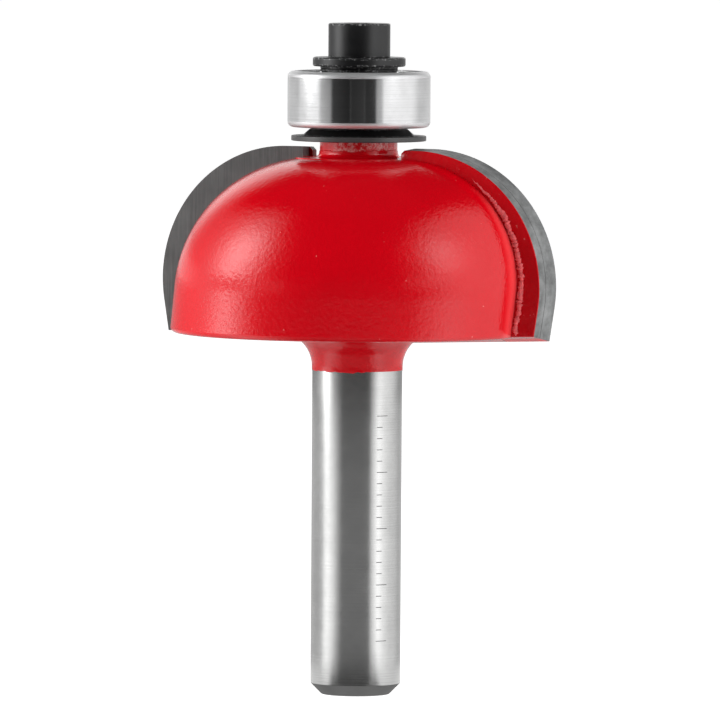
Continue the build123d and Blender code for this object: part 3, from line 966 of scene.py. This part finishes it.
class BIT_OT_cap_screw(bpy.types.Operator):
    """Cap screw with a rounded head edge and a hexagon socket"""

    bl_idname = "bit.cap_screw"
    bl_label = "Cap screw"

    def execute(self, context):
        size = context.scene.bit_bearing
        top, low, seat = screw_high.z, screw_low.z, flange_high.z
        rim, thread, flat = screw_high.x, size.thread_radius, size.hex_flats / 2
        point, floor = 0.35 * MM, top - size.hex_depth
        rows = [
            (0, low, 0), (thread - point, low, SHARP), (thread, low + point, SHARP),
            (thread, seat, 0.04 * MM), (rim, seat, 0.06 * MM), (rim, top, 0.13 * MM), (1.3 * flat, top, 0),
        ]
        outside, edge = rounded_outline(rows, closed=False)
        socket = np.array(
            [  # radius, height, share of the hexagon, wear
                (1.22 * flat, top, 0, 1),
                (1.15 * flat, top - 0.06 * MM, 0.6, 1),
                (flat, top - 0.14 * MM, 1, 0.3),
                (flat, floor, 1, 0),
                (0.9 * flat, floor, 0.8, 0),
                (0, floor - 0.35 * MM, 0, 0),
            ]
        )
        six_sided = np.concatenate([0 * edge, socket[:, 2]])
        worn = np.concatenate([edge, socket[:, 3]])
        profile = np.concatenate([outside, socket[:, :2]])
        angles = np.linspace(0, ROUND, 240, endpoint=False)
        facet = (angles + math.pi / 6) % (math.pi / 3) - math.pi / 6
        radius = profile[:, :1] * (1 + six_sided[:, None] * (1 / np.cos(facet) - 1))
        shell, worn = carried_round(radius, profile[:, 1:], worn, angles)
        add_piece("socket_screw", shell, ["black_oxide"], "black_oxide_steel", node="cap_screw", edge=worn)
        return {"FINISHED"}


class BIT_OT_depth_scale(bpy.types.Operator):
    """Etched depth lines on the shank, a millimetre apart"""

    bl_idname = "bit.depth_scale"
    bl_label = "Depth scale"

    def execute(self, context):
        radius = context.scene.bit_head.shank_radius
        under, over = radius - 0.02 * MM, radius + 0.002 * MM
        ring = np.array([(under, -SHARP), (over, -SHARP), (over, SHARP), (under, SHARP)])
        shells = []
        for number in range(21):
            width = (16 if number % 5 == 0 else 8) * DEGREE
            turn = -40 * DEGREE + np.linspace(0, width, 12)[:, None]
            shells.append(stacked_loops(around_axis(ring[:, 0], (5 + number) * MM + ring[:, 1], turn)))
        add_piece("depth_scale", joined(shells), ["etched"], "ground_steel")
        return {"FINISHED"}


# ---- Stage ----

VIEW = -66.6 * DEGREE
ON_FLOOR = (0.05, 0.05)

# Glow of the cloths round the bearing and the shank, as pairs (degrees from the camera's bearing, level).
BEARING_BANDS = (
    (-180, 0.75), (-114, 0.7), (-106, 0.95), (-68, 1.15), (-62, 0.6), (-46, 0.42), (-42, 0.06), (-14, 0.02),
    (-13, 0.12), (-12, 0.035), (8, 0.05), (9, 0.12), (10, 0.035), (26, 0.05), (28, 0.5), (36, 0.6), (40, 1.2),
    (90, 1.2), (112, 0.75), (180, 0.75),
)
SHANK_BANDS = (
    (-180, 0.65), (-112, 0.58), (-96, 0.75), (-86, 1.5), (-76, 1.7), (-60, 1.2), (-48, 0.62), (-38, 0.27),
    (-32, 0.24), (32, 0.24), (38, 0.9), (56, 1.85), (72, 1.3), (90, 1.0), (112, 0.85), (135, 0.6),
    (180, 0.65),
)


def steps(*pairs):
    """Glow that runs straight between (bearing, level) pairs, the same at every height."""
    knots, levels = zip(*pairs)
    return lambda bearing, height: np.interp(bearing, knots, levels)


def tent_glow(bearing, height):
    """Glow behind the head: dark in front and above, white at the sides, with soft highlights.

    A highlight is h exp(-(db/w)^2 - (dz/v)^2), with db and dz the distances from its middle.
    """

    def spot(level, middle, width, centre, tall):
        return level * np.exp(-(((bearing - middle) / width) ** 2) - ((height - centre) / tall) ** 2)

    far, behind = eased(abs(bearing), 85, 135), eased(abs(bearing), 138, 156)
    sides = np.maximum(1.0 * eased(-bearing, 58, 88), 1.15 * eased(bearing, 34, 66)) * (1 - 0.7 * far)
    sides = sides * (1 - eased(height, 150 - 60 * far, 220 - 90 * far))
    back = 0.9 * behind * (eased(height, 45, 75) - eased(height, 110, 150))
    left = spot(5.0, -82, 17, 88, 42) + spot(2.4, -84, 11, 34, 30)
    return 0.015 + sides + back + left + spot(2.2, 50, 14, 90, 42)


def cloth_glow(tree):
    """Unlit surface that shines by the mesh's own glow attribute."""
    return add_node(tree, "Emission", {"Strength": own_value(tree, "glow")})


def reflector(name, radii, heights, glow, rows=2):
    """Cloth that only reflections see, at (r cos t, r sin t, z), with r and z in millimetres.

    Both go from their first to their last value together. The glow is a function of the bearing from the
    camera in degrees and of the height.
    """
    bearing = np.linspace(-180, 180, 361)
    share = np.linspace(0, 1, rows)[:, None]
    radius, height = (first + share * (last - first) for first, last in (radii, heights))
    points = around_axis(radius * MM, height * MM, VIEW + bearing * DEGREE)
    index = np.arange(rows * len(bearing)).reshape(rows, -1)
    faces = np.stack([index[:-1, :-1], index[:-1, 1:], index[1:, 1:], index[1:, :-1]], -1).reshape(-1, 4)
    levels = np.broadcast_to(glow(bearing[None], height), index.shape)
    cloth = add_mesh(name, points.reshape(-1, 3), faces.tolist(), glow=levels)
    cloth.data.materials.append(made_once("reflector", cloth_glow))
    cloth.visible_camera = cloth.visible_shadow = cloth.visible_diffuse = False
    cloth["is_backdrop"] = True


def soft_box(name, bearing, width, watts, height=0.5, distance=0.6):
    """Upright soft box facing the tool, at degrees from the camera's bearing; nothing reflects it."""
    turn = VIEW + bearing * DEGREE
    data = bpy.data.lights.new(name, "AREA")
    data.shape = "RECTANGLE"
    data.size, data.size_y, data.energy = width, height, watts
    lamp = add_object(name, data)
    lamp.location = (distance * math.cos(turn), distance * math.sin(turn), height / 2)
    lamp.rotation_euler = (math.pi / 2, 0, turn + math.pi / 2)
    lamp.visible_glossy = False


def seen_directly(tree):
    """1 for camera, glossy and transmission rays, 0 for the rays that carry light."""
    path = add_node(tree, "LightPath", {}).node.outputs
    seen = combine("MAXIMUM", path["Is Camera Ray"], path["Is Glossy Ray"])
    return combine("MAXIMUM", seen, path["Is Transmission Ray"])


def floor_surface(shade, tree):
    """White to the camera and in reflections, and a plain shade to the light, with shadows."""
    plain, faint = (add_node(tree, "BsdfDiffuse", {"Color": tone}) for tone in (shade, (0.5, 0.5, 0.5)))
    lit = add_node(tree, "AddShader", {0: faint, 1: add_node(tree, "Emission", {"Strength": 0.95})})
    return add_node(tree, "MixShader", {0: seen_directly(tree), 1: plain, 2: lit})


def pale_floor(shade, half=8.0):
    """Large plain floor under the tool."""
    corners = [(-half, -half, 0), (half, -half, 0), (half, half, 0), (-half, half, 0)]
    floor = add_mesh("floor", corners, [(0, 1, 2, 3)])
    floor.data.materials.append(made_once("pale_floor", partial(floor_surface, shade)))
    floor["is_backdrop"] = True


def white_surround(light):
    """White world to the camera and in reflections, and a lower plain level as a light."""
    world = bpy.data.worlds.new("white_surround")
    world.use_nodes = True
    bpy.context.scene.world = world
    background = world.node_tree.nodes["Background"].inputs
    feed(background["Color"], (1, 1, 1))
    feed(background["Strength"], ramp(seen_directly(world.node_tree), 0, 1, light, 1.0))


def place_camera(distance, height, aim_right, aim_height, roll, field):
    """Long lens on the tool: a field of the given width at the target, level but for a small roll."""
    place = np.array([distance * math.cos(VIEW), distance * math.sin(VIEW), height])
    away = np.array([-aim_right * math.sin(VIEW), aim_right * math.cos(VIEW), aim_height]) - place
    data = bpy.data.cameras.new("camera")
    data.sensor_width = 36
    data.lens = data.sensor_width * np.linalg.norm(away) / field
    camera = add_object("camera", data)
    camera.location = place
    level = Vector(away).to_track_quat("-Z", "Y").to_matrix()
    camera.rotation_euler = (level @ Matrix.Rotation(roll, 3, "Z")).to_euler()
    bpy.context.scene.camera = camera


class BIT_OT_stage(bpy.types.Operator):
    """Pale floor, white surroundings, soft boxes, cloths for the reflections, and the camera"""

    bl_idname = "bit.stage"
    bl_label = "Stage"

    def execute(self, context):
        pale_floor(tuple(context.scene.bit_colours.floor))
        white_surround(0.12)
        soft_box("left_soft_box", bearing=-86, width=0.5, watts=6.6)
        soft_box("right_soft_box", bearing=69, width=0.4, watts=5.0)
        reflector("shank_cloth", (110, 110), (0, 20), steps(*SHANK_BANDS))
        reflector("tent", (110, 110), (20, 300), tent_glow, rows=90)
        reflector("bearing_cloth", (109, 109), (38, 53), steps(*BEARING_BANDS))
        reflector("ceiling", (0, 110), (300, 300), steps((0, 0.03)))
        reflector("foot_cloth", (0, 9), ON_FLOOR, steps((0, 0.22)))
        near = steps((-66, 0.9), (-56, 0.03), (50, 0.03), (60, 0.9))
        reflector("near_floor_cloth", (9, 30), ON_FLOOR, near)
        reflector("floor_cloth", (30, 110), ON_FLOOR, steps(*SHANK_BANDS))
        place_camera(
            distance=0.885, height=0.0801, aim_right=0.24 * MM, aim_height=29.77 * MM,
            roll=0.37 * DEGREE, field=64 * MM,
        )
        context.scene.view_settings.view_transform = "Standard"
        return {"FINISHED"}


class BIT_PT_panel(bpy.types.Panel):
    """The bit's pieces, in the 3D view's sidebar"""

    bl_idname = "BIT_PT_panel"
    bl_label = "Router Bit"
    bl_space_type = "VIEW_3D"
    bl_region_type = "UI"
    bl_category = "Router Bit"

    def draw(self, context):
        for operator in OPERATORS:
            self.layout.operator(operator.bl_idname)


GROUPS = {"bit_head": HeadSizes, "bit_wing": WingSizes, "bit_bearing": BearingSizes}
GROUPS["bit_colours"] = BitColours
OPERATORS = (
    BIT_OT_shank, BIT_OT_core, BIT_OT_lobes, BIT_OT_wings, BIT_OT_tips, BIT_OT_paint_beads,
    BIT_OT_bearing, BIT_OT_washers, BIT_OT_cap_screw, BIT_OT_depth_scale, BIT_OT_stage,
)
CLASSES = (*GROUPS.values(), *OPERATORS, BIT_PT_panel)


def register():
    for item in CLASSES:
        bpy.utils.register_class(item)
    for name, group in GROUPS.items():
        setattr(bpy.types.Scene, name, PointerProperty(type=group))


def unregister():
    for name in GROUPS:
        delattr(bpy.types.Scene, name)
    for item in reversed(CLASSES):
        bpy.utils.unregister_class(item)


def main():
    register()
    for operator in OPERATORS:
        getattr(bpy.ops.bit, operator.bl_idname.partition(".")[2])()
    boxes = {"cad": cad_box, "visual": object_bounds()}
    plain = {name: [list(map(float, corner)) for corner in box] for name, box in boxes.items()}


if __name__ == "__main__":
    main()
